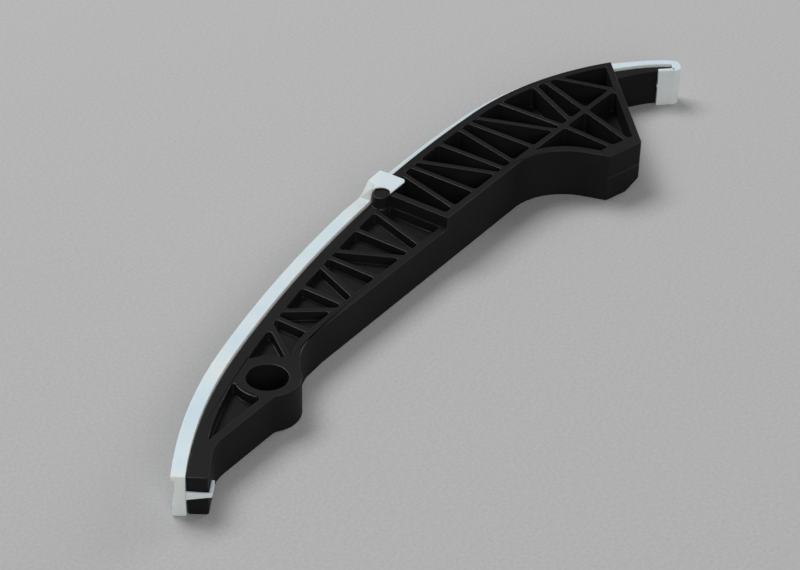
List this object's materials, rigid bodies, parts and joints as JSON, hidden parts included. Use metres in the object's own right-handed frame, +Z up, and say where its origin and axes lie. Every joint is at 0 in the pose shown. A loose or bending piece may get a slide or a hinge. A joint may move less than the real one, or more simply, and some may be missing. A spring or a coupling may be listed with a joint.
{
  "type": "timing chain guide",
  "caption": "Pivoting timing chain guide: a bowed, rib-trussed black carrier with a pivot bore and a tensioner pad, and a pale sliding liner clipped over its chain side.",
  "frame": {"origin": "middle of the box in plan, on the plane that the guide's flat underside rests on", "axes": "+X from the pivot end to the free tip, +Y toward the chain, +Z up from the flat underside, along the pivot bore"},
  "size_m": [0.2938, 0.0618, 0.0187],
  "materials": {
    "black_plastic": "matte black glass-filled nylon, as moulded",
    "natural_nylon": "satin, slightly translucent natural nylon"
  },
  "bodies": {
    "root": {"carrier": "black_plastic", "liner": "natural_nylon"}
  },
  "joints": []
}
